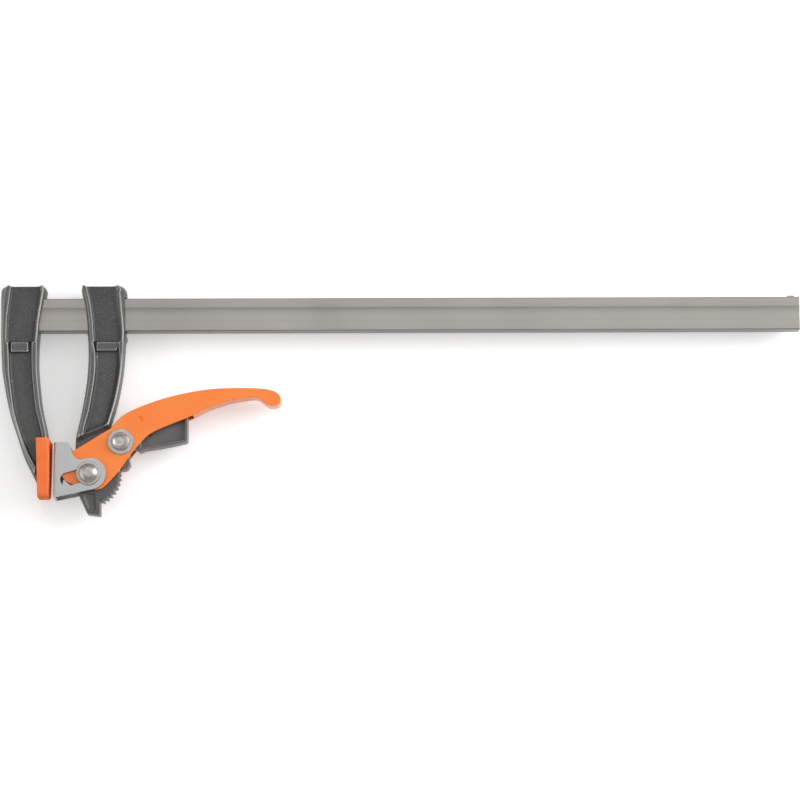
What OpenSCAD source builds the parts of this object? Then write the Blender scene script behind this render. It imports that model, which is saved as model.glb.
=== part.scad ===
// Quick release bar clamp, lying on its side with its handle to the right.
// X runs along the rail, away from the fixed jaw. Y runs from the jaws to the rail. Z runs across the clamp.
// The origin is the middle of the fixed jaw's clamping face.

/* [Rail] */
// Length of the rail
rail_l = 479; // [300:1:1000]
// Height of the rail's section
rail_h = 20; // [18:0.5:24]
// Thickness of the rail's section
rail_t = 10; // [8:0.5:11]
// Width of the hollow groove in each face
groove_w = 9.6; // [6:0.2:12]
// Depth of the hollow groove in each face
groove_d = 1.5; // [0.8:0.1:2.5]
// Bevel on the rail's long edges
rail_bevel = 0.6; // [0.2:0.1:1.5]
// Length of the staked burr that stops the sliding arm
stake_l = 7; // [4:0.5:12]
// Height of the staked burr above the rail's edge
stake_h = 1.2; // [0.9:0.1:2]
// Distance from the burr to the rail's free end
stake_inset = 2; // [1:0.5:8]

/* [Arms] */
// Distance from the middle of the jaws to the rail
throat_d = 83; // [70:1:110]
// Width of each arm at the rail
arm_w = 25; // [23:0.5:30]
// Thickness of each arm across its flanges
arm_t = 19; // [18:0.5:24]
// Thickness of metal over the rail's outer edge
arm_cap = 7.2; // [4:0.2:10]
// Height of the small horns in which the flanges end
horn_h = 0.9; // [0.4:0.1:2]
// Width of the flanges along the arm's edges
flange_w = 3.2; // [2:0.2:5]
// Thickness between the panels beside the rail
panel_t = 14.4; // [13.6:0.2:16]
// Thickness of the web below the rail
web_t = 11.2; // [10.6:0.2:13]
// Thickness of the sliding arm's end inside the lever
boss_t = 10; // [8:0.5:10.5]
// Distance of the fixed arm behind the clamping face
fixed_set = 4.6; // [3.5:0.1:10]
// Place of the sliding arm's inner edge along the rail
slide_x = 18.8; // [18:0.2:24]

/* [Brake pins] */
// Diameter of the brake pins
brake_pin_d = 3.8; // [3:0.2:5]
// Length of the brake pins, whose ends lie below the paint
brake_pin_l = 13.2; // [12:0.2:13.6]
// Distance of each brake pin from its edge of the arm
brake_pin_inset = 2.8; // [2.6:0.1:5]
// Diameter of the cast boss round the lower brake pin
brake_boss_d = 7; // [7:0.2:9]
// Clearance between the rail and the arm's slot
slot_play = 0.7; // [0.5:0.1:1.1]
// Diameter of the pins that hold the fixed arm
arm_pin_d = 4; // [3:0.5:5]
// Depth to which the arm pins enter the rail
arm_pin_depth = 7; // [4:0.5:12]
// Distance of the arm pins from the middle of the arm
arm_pin_pitch = 6; // [4:0.5:8]

/* [Jaw pad] */
// Height of the pad
pad_h = 35.4; // [28:0.2:44]
// Width of the pad at its top
pad_w = 26; // [24:0.5:32]
// Width of the pad at its lower end
pad_end_w = 15; // [12:0.5:24]
// Depth of the pad from its face to its back edge
pad_depth = 8; // [6:0.5:11]
// Thickness of the pad's face
pad_face = 3.3; // [2:0.1:4]
// Thickness of the pad's side walls
pad_wall = 2; // [1.4:0.1:3]
// Corner radius of the pad
pad_corner = 2.4; // [1:0.2:4]

/* [Pressure plate] */
// Gap between the two jaws as drawn
jaw_gap = 2.5; // [2.3:0.1:3]
// Sheet thickness of the pressure plate
plate_sheet = 1.8; // [1.4:0.1:2]
// Height of the plate above the middle of the jaws
plate_up = 15.2; // [13:0.2:16]
// Height of the plate below the middle of the jaws
plate_down = 18.1; // [16:0.2:22]
// Radius of the plate's ears round the pivot
ear_r = 9.6; // [8.6:0.1:10]
// Width of the slot in each ear
slot_w = 8.3; // [8.2:0.1:9]
// Free length of the slot
slot_l = 13.1; // [11.5:0.1:13.6]
// Slope of the slot
slot_angle = 16; // [10:1:20]
// Inner radius of the plate's folds
plate_bend = 1; // [0.5:0.1:2]

/* [Lever] */
// Place of the lever's pivot along the rail
pivot_x = 23.3; // [23:0.1:24]
// Place of the lever's pivot below the middle of the jaws
pivot_drop = 3.6; // [2:0.2:5]
// Reach of the lever from its pivot
lever_l = 115; // [100:1:140]
// Sheet thickness of the lever
lever_sheet = 1.8; // [1.4:0.1:2]
// Inside width of the lever
lever_in = 10.6; // [10.5:0.1:12]
// Travel of the pressure plate for each radian that the lever turns
cam_r = 8; // [7.5:0.1:8.4]
// Angle through which the lever turns
lever_turn = 70; // [50:1:72]
// Depth of the round dimple that holds the spring
dimple_d = 0.5; // [0.2:0.1:0.8]
// Diameter of the round dimple
dimple_w = 4; // [2:0.2:6]

/* [Pawl and teeth] */
// Radius of the tips of the teeth
tooth_r = 19.3; // [18.5:0.1:19.6]
// Depth of the teeth
tooth_d = 1.9; // [1.2:0.1:2.4]
// Number of teeth
tooth_n = 10; // [9:1:10]
// Angle between two teeth
tooth_pitch = 8.9; // [8:0.1:9]
// Place of the trigger's pivot along the rail, past the lever's pivot
trigger_dx = 18.9; // [18.4:0.1:19.4]
// Height of the trigger's pivot above the lever's pivot
trigger_dy = 19.3; // [18.9:0.1:19.8]
// Thickness of the trigger's casting
trigger_t = 10; // [8:0.5:10]
// Thickness of the trigger's inner web
trigger_web_t = 5; // [3:0.5:7]
// Width of the rims of the trigger
trigger_rim = 2.4; // [1.5:0.1:3.5]
// Diameter of the trigger's hub
hub_d = 13; // [12.4:0.2:13.4]
// Length of the trigger from its pivot
trigger_l = 40; // [34:1:48]

/* [Rivets, washers and bushes] */
// Diameter of the lever's rivet
pivot_d = 6; // [5:0.5:6.5]
// Diameter of its heads
pivot_head_d = 11.4; // [10:0.2:12.4]
// Height of its heads
pivot_head_h = 2.8; // [1.6:0.1:3.4]
// Diameter of the washers under its heads
pivot_washer_d = 14.4; // [13.2:0.2:15.6]
// Outer diameter of the bushes that ride in the slots
bush_d = 8; // [7.6:0.1:8]
// Diameter of the trigger's rivet
pin_d = 5; // [4:0.5:5.5]
// Diameter of its heads
pin_head_d = 10.8; // [9:0.2:12]
// Height of its heads
pin_head_h = 2.4; // [1.4:0.1:3]
// Diameter of the washers under its heads
pin_washer_d = 15.6; // [13:0.2:16]
// Diameter of the dimple in its heads
pin_dimple_d = 5.6; // [3:0.2:6]
// Thickness of all the washers
washer_t = 1; // [0.8:0.1:1.5]
// Outer diameter of the sleeve under the trigger
sleeve_d = 8; // [7:0.1:8]

/* [Trigger spring] */
// Diameter of the spring's wire
wire_d = 0.9; // [0.7:0.1:1]
// Mean radius of the spring's coil
coil_r = 5; // [4.8:0.1:5.4]
// Rise of the coil in each turn
coil_pitch = 1.35; // [1.3:0.05:1.4]

/* [Hidden] */

// Clearance of a pin or bush that turns
running = 0.05;
// Clearance between flat faces that move past each other
play = 0.1;
// Clearance between curved pieces that move past each other
clear = 0.3;
// Overrun of all cuts
over = 0.5;

round_fn = 64;
curve_n = 4;
corner_n = 5;

pivot = [pivot_x, -pivot_drop];
trigger_pin = pivot + [trigger_dx, trigger_dy];
rail_top = throat_d + rail_h;
arm_h = rail_top + arm_cap;
rail_x = -fixed_set - arm_w + play;
lever_out = lever_in + 2 * lever_sheet;
plate_in = lever_out + 2 * (play + play + play);
plate_out = plate_in + 2 * plate_sheet;
plate_back = jaw_gap + plate_sheet;
cam_reach = pivot_x - plate_back - clear;
slot_dir = [cos(slot_angle), sin(slot_angle)];

// Points through which the edges of the arms run, as shares of the arm's width and height
fixed_outer_shares = [
    [-1.012, 1], [-1.06, 0.977], [-1.06, 0.899], [-1.045, 0.798], [-1, 0.688], [-0.948, 0.555],
    [-0.878, 0.427], [-0.755, 0.303], [-0.605, 0.193], [-0.46, 0.095], [-0.28, -0.004], [-0.136, -0.073]
];
fixed_inner_shares = [
    [0.04, 1], [0.01, 0.96], [-0.035, 0.88], [-0.122, 0.761], [-0.166, 0.688], [-0.176, 0.596],
    [-0.156, 0.514], [-0.118, 0.44], [-0.056, 0.367], [0.006, 0.303], [0.064, 0.239], [0.105, 0.183]
];
slide_inner_shares = [
    [-0.035, 1], [-0.025, 0.972], [0.03, 0.917], [0.09, 0.826], [0.118, 0.734], [0.142, 0.642],
    [0.146, 0.569], [0.122, 0.486], [0.084, 0.408], [0.024, 0.326], [-0.048, 0.252], [-0.11, 0.183],
    [-0.128, 0.128], [-0.124, 0.06], [-0.12, -0.035], [-0.105, -0.09], [-0.072, -0.139]
];
slide_outer_shares = [
    [0.985, 1], [1.02, 0.977], [1.008, 0.89], [1.004, 0.78], [0.982, 0.697], [0.95, 0.615],
    [0.912, 0.532], [0.862, 0.45], [0.79, 0.367], [0.7, 0.284], [0.61, 0.22], [0.545, 0.147],
    [0.588, 0.073], [0.688, 0]
];
// Heights at which the panel beside the rail slopes down to the web, as shares of the throat
slope_top_share = 0.92;
slope_end_share = 0.84;
// Left and right ends of the step above the lever, as shares of the arm's width and height
step_shares = [[-0.2, 0.17], [0.72, 0.244]];
// Corners of the foot below the teeth, as shares of the tooth radius, from the pivot
foot_shares = [[-0.04, -1.23], [0.37, -1.285], [0.36, -0.7], [0.5, -0.3]];
foot_panel_shares = [[-0.12, -0.75], [0.02, -1.08], [0.22, -1.1], [0.2, -0.75]];
foot_panel_d_share = 0.1;
// Points along the lever's back and along its open edge, as shares of the lever's reach, from the pivot
lever_back_shares = [
    [0.109, 0.235], [0.143, 0.275], [0.184, 0.312], [0.253, 0.346], [0.363, 0.387], [0.492, 0.421],
    [0.629, 0.443], [0.769, 0.449], [0.88, 0.446], [0.938, 0.438], [0.979, 0.42], [0.996, 0.39],
    [0.99, 0.368], [0.97, 0.356], [0.94, 0.356], [0.912, 0.371], [0.879, 0.397], [0.845, 0.401]
];
lever_open_shares = [
    [0.82, 0.397], [0.721, 0.38], [0.61, 0.341], [0.54, 0.305], [0.402, 0.25], [0.311, 0.205],
    [0.253, 0.145], [0.218, 0.105], [0.173, 0.036], [0.124, -0.023], [0.074, -0.073], [0.035, -0.083]
];
dimple_share = [0.265, 0.285];
// Outline of the trigger from its pivot, as shares of its length
trigger_shares = [
    [0.11, 0.1], [0.44, 0.1], [0.98, 0.42], [1, 0.38], [1, 0.02], [0.985, 0.005], [0.8, -0.04],
    [0.6, -0.078], [0.36, -0.115], [0.28, -0.15], [0.25, -0.11], [0.12, -0.1]
];
// Outline of the pawl below the hub, as shares of the trigger's length
pawl_shares = [
    [-0.155, 0], [-0.145, -0.13], [-0.03, -0.425], [0.02, -0.428], [0.1, -0.405], [0.145, -0.34],
    [0.125, -0.24], [0.155, 0]
];
// Neck of the pressure plate, as shares of its reach and height from its upper front corner
neck_shares = [
    [0.36, 0], [0.4, 0.008], [0.445, 0.07], [0.486, 0.2], [0.54, 0.38], [0.63, 0.5], [0.75, 0.552],
    [0.82, 0.54]
];
// Angle at which the neck runs into the round of the ear
neck_angle = 104;

function spline_point(a, b, c, d, t) =
    (2 * b + (c - a) * t + (2 * a - 5 * b + 4 * c - d) * t ^ 2 + (3 * b - a - 3 * c + d) * t ^ 3) / 2;
// A smooth curve through all the points of a list
function spline(points, steps = curve_n) =
    let (last = len(points) - 1)
    concat(
        [for (i = [0 : last - 1], s = [0 : steps - 1])
            spline_point(points[max(i - 1, 0)], points[i], points[i + 1], points[min(i + 2, last)], s / steps)],
        [points[last]]
    );
function scaled(shares, sizes, start = [0, 0]) = [for (p = shares) start + [p.x * sizes.x, p.y * sizes.y]];
function reversed(points) = [for (i = [len(points) - 1 : -1 : 0]) points[i]];
function unit(v) = v / norm(v);
// A curve moved sideways by a distance, to the left of the way that it runs
function moved(points, distance) =
    let (last = len(points) - 1)
    [for (i = [0 : last])
        let (along = unit(points[min(i + 1, last)] - points[max(i - 1, 0)]))
        points[i] + distance * [-along.y, along.x]];
// A polygon with its corners rounded, each over the same length of its sides
function rounded(points, reach, steps = corner_n) =
    let (n = len(points))
    [for (i = [0 : n - 1], s = [0 : steps])
        let (
            p = points[i],
            a = p + reach * unit(points[(i + n - 1) % n] - p),
            b = p + reach * unit(points[(i + 1) % n] - p),
            t = s / steps
        )
        (1 - t) ^ 2 * a + 2 * t * (1 - t) * p + t ^ 2 * b];
function polar(r, angle) = r * [cos(angle), sin(angle)];
function arc(centre, r, from, to) =
    [for (i = [0 : round_fn / 2]) centre + polar(r, from + (to - from) * 2 * i / round_fn)];

arm_size = [arm_w, arm_h];
fixed_start = [-fixed_set, 0];
slide_start = [slide_x, 0];
fixed_outer = spline(scaled(fixed_outer_shares, arm_size, fixed_start));
fixed_inner = spline(scaled(fixed_inner_shares, arm_size, fixed_start));
slide_inner = spline(scaled(slide_inner_shares, arm_size, slide_start));
slide_outer = spline(scaled(slide_outer_shares, arm_size, slide_start));

module across(thickness, z = 0) {
    translate([0, 0, z - thickness / 2])
        linear_extrude(thickness) children();
}

module disc_at(place, diameter, thickness, z = 0) {
    translate([place.x, place.y, z - thickness / 2])
        cylinder(h = thickness, d = diameter, $fn = round_fn);
}

module both_faces() {
    children();
    mirror([0, 0, 1]) children();
}

// The inner edge of a flange, which runs straight out of the arm's top
function flange_edge(edge, distance) =
    let (inner = [for (p = moved(edge, distance)) if (p.y < arm_h - arm_cap) p])
    concat([[inner[0].x, arm_h + over]], inner);

// The hollow between an arm's flanges, shallow beside the rail and deeper below it
module arm_hollow(left, right, low) {
    slope_top = slope_top_share * throat_d;
    slope_end = slope_end_share * throat_d;
    width = 4 * arm_w;
    both_faces()
        intersection() {
            linear_extrude(arm_t)
                polygon(concat(flange_edge(left, flange_w), reversed(flange_edge(right, -flange_w))));
            translate([slide_x - width / 2, 0, 0])
                rotate([90, 0, 90])
                    linear_extrude(width)
                        polygon([
                            [low, web_t / 2], [slope_end, web_t / 2], [slope_top, panel_t / 2],
                            [arm_h + over, panel_t / 2], [arm_h + over, arm_t], [low, arm_t]
                        ]);
        }
}

// Small horns that the flanges form at the arm's top
module arm_horns(x_low, x_high) {
    for (x = [x_low, x_high])
        translate([x - flange_w / 4, arm_h - flange_w, -arm_t / 2])
            cube([flange_w / 2, flange_w + horn_h, arm_t]);
}

module rail_section() {
    half = [rail_h / 2, rail_t / 2];
    inner = half - [rail_bevel, rail_bevel];
    polygon([
        [-inner.x, -half.y], [inner.x, -half.y], [half.x, -inner.y], [half.x, inner.y],
        [inner.x, half.y], [-inner.x, half.y], [-half.x, inner.y], [-half.x, -inner.y]
    ]);
}

module rail() {
    groove_r = ((groove_w / 2) ^ 2 + groove_d ^ 2) / (2 * groove_d);
    color("#a39f9a") {
        difference() {
            translate([rail_x, throat_d + rail_h / 2, 0])
                rotate([90, 0, 90])
                    linear_extrude(rail_l) rail_section();
            for (side = [-1, 1])
                translate([rail_x - over, throat_d + rail_h / 2, side * (rail_t / 2 - groove_d + groove_r)])
                    rotate([0, 90, 0])
                        cylinder(h = rail_l + 2 * over, r = groove_r, $fn = round_fn);
            arm_pins(play / 2);
        }
        stake_burr();
    }
}

// Metal pushed up from the rail's upper edge by a punch
module stake_burr() {
    burr_x = rail_x + rail_l - stake_inset - stake_l;
    across(rail_t / 2)
        polygon([
            [burr_x, rail_top - rail_bevel], [burr_x + stake_h / 2, rail_top + stake_h],
            [burr_x + stake_l - stake_h, rail_top + stake_h], [burr_x + stake_l, rail_top - rail_bevel]
        ]);
}

module arm_pins(gap = 0) {
    arm_mid = -fixed_set - arm_w / 2;
    for (side = [-1, 1])
        translate([arm_mid + side * arm_pin_pitch, arm_h + gap, 0])
            rotate([90, 0, 0])
                cylinder(h = arm_cap + arm_pin_depth + 2 * gap, d = arm_pin_d + 2 * gap, $fn = round_fn);
}

module fixed_arm_pins() {
    color("#8e8a86") arm_pins();
}

// Outline of the pad across the clamp, drawn in Z and Y
function pad_outline(inset) = let (half = pad_h / 2) [
    [pad_w / 2 - inset, half], [-pad_w / 2 + inset, half],
    [-pad_end_w / 2 + inset, -half + inset], [pad_end_w / 2 - inset, -half + inset]
];

// An outline drawn in Z and Y, given a thickness from one X to another
module along_x(x_from, x_to) {
    translate([x_to, 0, 0])
        rotate([0, -90, 0])
            linear_extrude(x_to - x_from) children();
}

module fixed_jaw_pad() {
    color("#fd8454")
        difference() {
            along_x(-pad_depth, 0)
                polygon(rounded(pad_outline(0), pad_corner));
            along_x(-pad_depth - over, -pad_face)
                translate([0, over]) polygon(pad_outline(pad_wall));
            along_x(-pad_depth - over, -pad_face)
                polygon(pad_outline(pad_wall));
        }
}

module fixed_arm() {
    pad_top = pad_h / 2 + play;
    body = concat(
        fixed_outer,
        [[-pad_depth, fixed_outer[len(fixed_outer) - 1].y], [-pad_depth, pad_top], [-pad_face - play, pad_top]],
        reversed(fixed_inner)
    );
    jaw_wall = pad_wall + play;
    color("#565656")
        difference() {
            union() {
                across(arm_t) polygon(body);
                along_x(-pad_depth - play, -pad_face - play)
                    polygon(pad_outline(jaw_wall));
                arm_horns(fixed_outer[0].x + 1.6 * flange_w, fixed_inner[0].x - flange_w / 2);
            }
            arm_hollow(fixed_outer, fixed_inner, pad_top + flange_w);
            rail_hole(fixed_set + arm_w + over, rail_t / 2 + play, play);
            arm_pins(play / 2);
        }
}

// The hole for the rail through an arm, with its own play above and below
module rail_hole(reach, half, gap) {
    translate([-reach, throat_d - gap, -half])
        cube([2 * reach, rail_h + 2 * gap, 2 * half]);
}

function brake_places() = let (r = brake_pin_d / 2, inset = brake_pin_inset) [
    [slide_inner[0].x + slide_edge_rise(rail_top) + inset, rail_top + running + r],
    [slide_x + arm_w - inset, throat_d - running - r]
];
// How far the sliding arm's inner edge has moved over at the rail's upper edge
function slide_edge_rise(y) =
    let (near = [for (p = slide_inner) if (p.y >= y) p.x])
    near[len(near) - 1] - slide_inner[0].x;

module brake_pin(index, gap = 0) {
    disc_at(brake_places()[index], brake_pin_d + 2 * gap, brake_pin_l + 4 * gap);
}

module upper_brake_pin() {
    color("#b0aca8") brake_pin(0);
}

module lower_brake_pin() {
    color("#b0aca8") brake_pin(1);
}

// The ring of teeth, each with a long back and a steep face
module teeth() {
    root_r = tooth_r - tooth_d;
    first = -61.5;
    color("#5a5a5a")
        across(boss_t)
            polygon(concat(
                [pivot],
                [for (i = [0 : tooth_n - 1], k = [0 : 3])
                    let (
                        angle = first + i * tooth_pitch,
                        offset_shares = [-0.52, 0.02, 0.2, 0.36],
                        r = k == 0 || k == 3 ? root_r : tooth_r
                    )
                    pivot + polar(r, angle + offset_shares[k] * tooth_pitch)]
            ));
}

module sliding_arm() {
    foot_size = [tooth_r, tooth_r];
    outline = concat(slide_inner, scaled(foot_shares, foot_size, pivot), reversed(slide_outer));
    step = scaled(step_shares, arm_size, slide_start);
    low = pivot.y - 2 * tooth_r;
    color("#565656")
        difference() {
            union() {
                difference() {
                    across(arm_t) polygon(outline);
                    both_faces()
                        translate([0, 0, boss_t / 2])
                            linear_extrude(arm_t)
                                polygon([
                                    [step[0].x - arm_w, step[0].y], step[0], step[1],
                                    [step[1].x + arm_w, step[1].y], [step[1].x + arm_w, low],
                                    [step[0].x - arm_w, low]
                                ]);
                }
                arm_horns(slide_inner[0].x + 0.75 * flange_w, slide_outer[0].x - flange_w);
                teeth();
                disc_at([brake_places()[1].x, throat_d - brake_boss_d / 2], brake_boss_d, arm_t);
            }
            arm_hollow(slide_inner, slide_outer, pivot.y);
            both_faces()
                translate([0, 0, boss_t / 2 - foot_panel_d_share * boss_t])
                    linear_extrude(boss_t) polygon(scaled(foot_panel_shares, foot_size, pivot));
            translate([slide_x - arm_w / 2, throat_d - slot_play, -rail_t / 2 - clear])
                cube([2 * arm_w, rail_h + 2 * slot_play, rail_t + 2 * clear]);
            disc_at(pivot, pivot_d + 2 * running, boss_t + 2 * over);
            brake_pin(0, running / 2);
            brake_pin(1, running / 2);
        }
}

// One point of the cam, where it meets the plate after the lever has turned back by an angle
function cam_point(angle) =
    let (reach = cam_reach - cam_r * angle * PI / 180)
    pivot + [
        -reach * cos(angle) - cam_r * sin(angle),
        -reach * sin(angle) + cam_r * cos(angle)
    ];

lever_size = [lever_l, lever_l];
lever_back = spline(scaled(lever_back_shares, lever_size, pivot));
lever_open = spline(scaled(lever_open_shares, lever_size, pivot), 3);
cam_step = 5;
lever_outline = concat(
    [for (a = [lever_turn + cam_step : -cam_step : 0]) cam_point(a)],
    lever_back,
    lever_open
);

module lever() {
    dimple_at = pivot + lever_l * dimple_share;
    ball_r = ((dimple_w / 2) ^ 2 + dimple_d ^ 2) / (2 * dimple_d);
    color("#fd8c42") {
        both_faces()
            difference() {
                translate([0, 0, lever_in / 2])
                    linear_extrude(lever_sheet) polygon(lever_outline);
                disc_at(pivot, pivot_d + 2 * running, 2 * lever_out);
                disc_at(trigger_pin, pin_d + 2 * running, 2 * lever_out);
                translate([dimple_at.x, dimple_at.y, lever_out / 2 - dimple_d + ball_r])
                    sphere(r = ball_r, $fn = round_fn);
            }
        across(lever_in)
            polygon(concat(lever_back, reversed(moved(lever_back, -lever_sheet))));
    }
}

module trigger_pawl() {
    size = [trigger_l, trigger_l];
    grip = scaled(trigger_shares, size, trigger_pin);
    panel_left = trigger_pin.x + hub_d / 2 + 2 * trigger_rim;
    panel_right = trigger_pin.x + trigger_l - trigger_rim;
    spring_z = trigger_spring_z() - wire_d / 2 - play;
    spring_room = hub_d + 2 * trigger_rim;
    color("#6f6c6c")
        difference() {
            union() {
                across(trigger_t) polygon(grip);
                across(trigger_t) polygon(scaled(pawl_shares, size, trigger_pin));
                disc_at(trigger_pin, hub_d, trigger_t);
            }
            both_faces()
                translate([0, 0, trigger_web_t / 2])
                    linear_extrude(trigger_t)
                        intersection() {
                            translate([0, trigger_rim]) polygon(grip);
                            translate([panel_left, pivot.y])
                                square([panel_right - panel_left, trigger_l]);
                        }
            translate([0, 0, spring_z + trigger_t])
                disc_at(trigger_pin, spring_room, 2 * trigger_t);
            disc_at(trigger_pin, sleeve_d + 2 * running, trigger_t + 2 * over);
            disc_at(pivot, 2 * (tooth_r + clear), trigger_t + 2 * over);
        }
}

module trigger_sleeve() {
    color("#9c9893")
        difference() {
            disc_at(trigger_pin, sleeve_d, lever_in - 2 * play);
            disc_at(trigger_pin, pin_d + 2 * running, lever_in);
        }
}

coil_turns = 2.75;
function trigger_spring_z() = lever_in / 2 - play - wire_d / 2 - coil_turns * coil_pitch;

// A tube of round wire along a list of points
module wire(points, diameter, sides = 8) {
    last = len(points) - 1;
    rings = [for (i = [0 : last])
        let (
            along = unit(points[min(i + 1, last)] - points[max(i - 1, 0)]),
            side = unit(cross(along, [0, 0, 1])),
            up = cross(side, along)
        )
        for (k = [0 : sides - 1])
            points[i] + diameter / 2 * (cos(360 * k / sides) * side + sin(360 * k / sides) * up)];
    walls = [for (i = [0 : last - 1], k = [0 : sides - 1])
        let (a = i * sides + k, b = i * sides + (k + 1) % sides)
        each [[a, a + sides, b], [b, a + sides, b + sides]]];
    start = [for (k = [1 : sides - 2]) [0, k, k + 1]];
    end = [for (k = [1 : sides - 2]) [last * sides, last * sides + k + 1, last * sides + k]];
    polyhedron(rings, concat(walls, start, end));
}

module trigger_spring() {
    leg = 3 * coil_r;
    z = trigger_spring_z();
    segments = 24;
    steps = coil_turns * segments;
    coil = [for (i = [0 : steps])
        let (p = trigger_pin + polar(coil_r, 90 + 360 * i / segments))
        [p.x, p.y, z + coil_pitch * i / segments]];
    first = coil[0];
    final = coil[steps];
    color("#8e8a86")
        wire(concat(
            [first + [leg, 0, 0], first + [leg / 2, 0, 0]],
            coil,
            [final + [0, leg / 2, 0], final + [0, leg * 1.05, 0]]
        ), wire_d);
}

// A rivet with two rounded heads, with or without a dimple in each
module rivet(place, shank_d, head_d, head_h, grip, dimple) {
    translate([place.x, place.y, 0]) {
        disc_at([0, 0], shank_d, grip);
        both_faces()
            difference() {
                translate([0, 0, grip / 2])
                    rotate_extrude($fn = round_fn)
                        polygon(concat([[0, 0]], head_profile(head_d / 2, head_h)));
                if (dimple > 0)
                    translate([0, 0, grip / 2 + head_h + dimple / 2])
                        sphere(d = 1.4 * dimple, $fn = round_fn);
            }
    }
}

// Half of a head's section: a short upright rim and a round shoulder up to a flat crown
function head_profile(r, h) =
    let (rim_share = 0.25, crown_share = 0.5, rim = rim_share * h, crown = crown_share * r)
    concat(
        [[r, 0]],
        [for (a = [0 : 15 : 90]) [crown + (r - crown) * cos(a), rim + (h - rim) * sin(a)]],
        [[0, h]]
    );

module washer(place, hole_d, outer_d, z_from, side) {
    translate([0, 0, side * (z_from + washer_t / 2)])
        difference() {
            disc_at(place, outer_d, washer_t);
            disc_at(place, hole_d + 2 * running, 2 * washer_t);
        }
}

pin_washer_z = lever_out / 2;
pivot_washer_z = plate_out / 2 + play;

module trigger_rivet() {
    color("#b9b4b0")
        rivet(trigger_pin, pin_d, pin_head_d, pin_head_h, 2 * (pin_washer_z + washer_t), pin_dimple_d);
}

module trigger_washer_front() {
    color("#c4c2bf") washer(trigger_pin, pin_d, pin_washer_d, pin_washer_z, 1);
}

module trigger_washer_back() {
    color("#c4c2bf") washer(trigger_pin, pin_d, pin_washer_d, pin_washer_z, -1);
}

module pivot_rivet() {
    color("#b9b4b0")
        rivet(pivot, pivot_d, pivot_head_d, pivot_head_h, 2 * (pivot_washer_z + washer_t), 0);
}

module pivot_washer_front() {
    color("#c4c2bf") washer(pivot, pivot_d, pivot_washer_d, pivot_washer_z, 1);
}

module pivot_washer_back() {
    color("#c4c2bf") washer(pivot, pivot_d, pivot_washer_d, pivot_washer_z, -1);
}

module slot_bush(side) {
    low = lever_out / 2 + play;
    length = pivot_washer_z - low;
    translate([0, 0, side * (low + length / 2)])
        difference() {
            disc_at(pivot, bush_d, length);
            disc_at(pivot, pivot_d + 2 * running, 2 * length);
        }
}

module slot_bush_front() {
    color("#9c9893") slot_bush(1);
}

module slot_bush_back() {
    color("#9c9893") slot_bush(-1);
}

// The slot's outline: its right end lies round the bush, its left end is where the plate draws back to
module slot_cut() {
    far = pivot - slot_l * slot_dir;
    near = pivot + clear * slot_dir;
    r = slot_w / 2;
    side = slot_angle - 90;
    across(2 * plate_out)
        polygon(concat(arc(near, r, side, side + 180), arc(far, r, side + 180, side + 360)));
}

module pressure_plate() {
    corner = [jaw_gap, plate_up];
    heel = [jaw_gap, -plate_down];
    to_pivot = pivot - heel;
    tangent = atan2(to_pivot.y, to_pivot.x) - asin(ear_r / norm(to_pivot));
    neck = scaled(neck_shares, pivot - corner, corner);
    outline = concat(
        [heel, corner],
        spline(concat(neck, [pivot + polar(ear_r, neck_angle)])),
        arc(pivot, ear_r, neck_angle - 90 / round_fn, tangent - 90)
    );
    outer = plate_bend + plate_sheet;
    depth = pivot_x + 2 * ear_r;
    color("#b9b9b9")
        difference() {
            intersection() {
                across(plate_out) polygon(outline);
                translate([0, plate_up + over, 0])
                    rotate([90, 0, 0])
                        linear_extrude(plate_up + plate_down + 2 * over)
                            difference() {
                                folded(jaw_gap, depth, plate_out / 2, outer);
                                folded(plate_back, depth + over, plate_in / 2, plate_bend);
                            }
            }
            slot_cut();
        }
}

// A box outline whose two front corners are rounded to a radius
module folded(front, back, half, radius) {
    translate([front + radius, -half]) square([back - front - radius, 2 * half]);
    translate([front, -half + radius]) square([radius, 2 * (half - radius)]);
    for (side = [-1, 1])
        translate([front + radius, side * (half - radius)]) circle(r = radius, $fn = round_fn);
}

rail();
fixed_arm();
fixed_arm_pins();
fixed_jaw_pad();
sliding_arm();
upper_brake_pin();
lower_brake_pin();
lever();
trigger_pawl();
trigger_sleeve();
trigger_spring();
trigger_rivet();
trigger_washer_front();
trigger_washer_back();
pressure_plate();
pivot_rivet();
slot_bush_front();
slot_bush_back();
pivot_washer_front();
pivot_washer_back();
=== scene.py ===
# %% [markdown]
# # A quick release bar clamp, dressed in Blender
# The clamp comes packed from its construction file as plain solids, each on a body that can move. This lesson
# gives every solid the shape and the finish that the eye expects: drafted castings, folded sheet, turned rivets.
# All sizes are written in millimetres, as on a workshop drawing, and each finished mesh is brought to metres.

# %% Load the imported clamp
from math import atan2, asin, cos, degrees, hypot, pi, radians, sin

import bmesh
import bpy
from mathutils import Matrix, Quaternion, Vector


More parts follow.
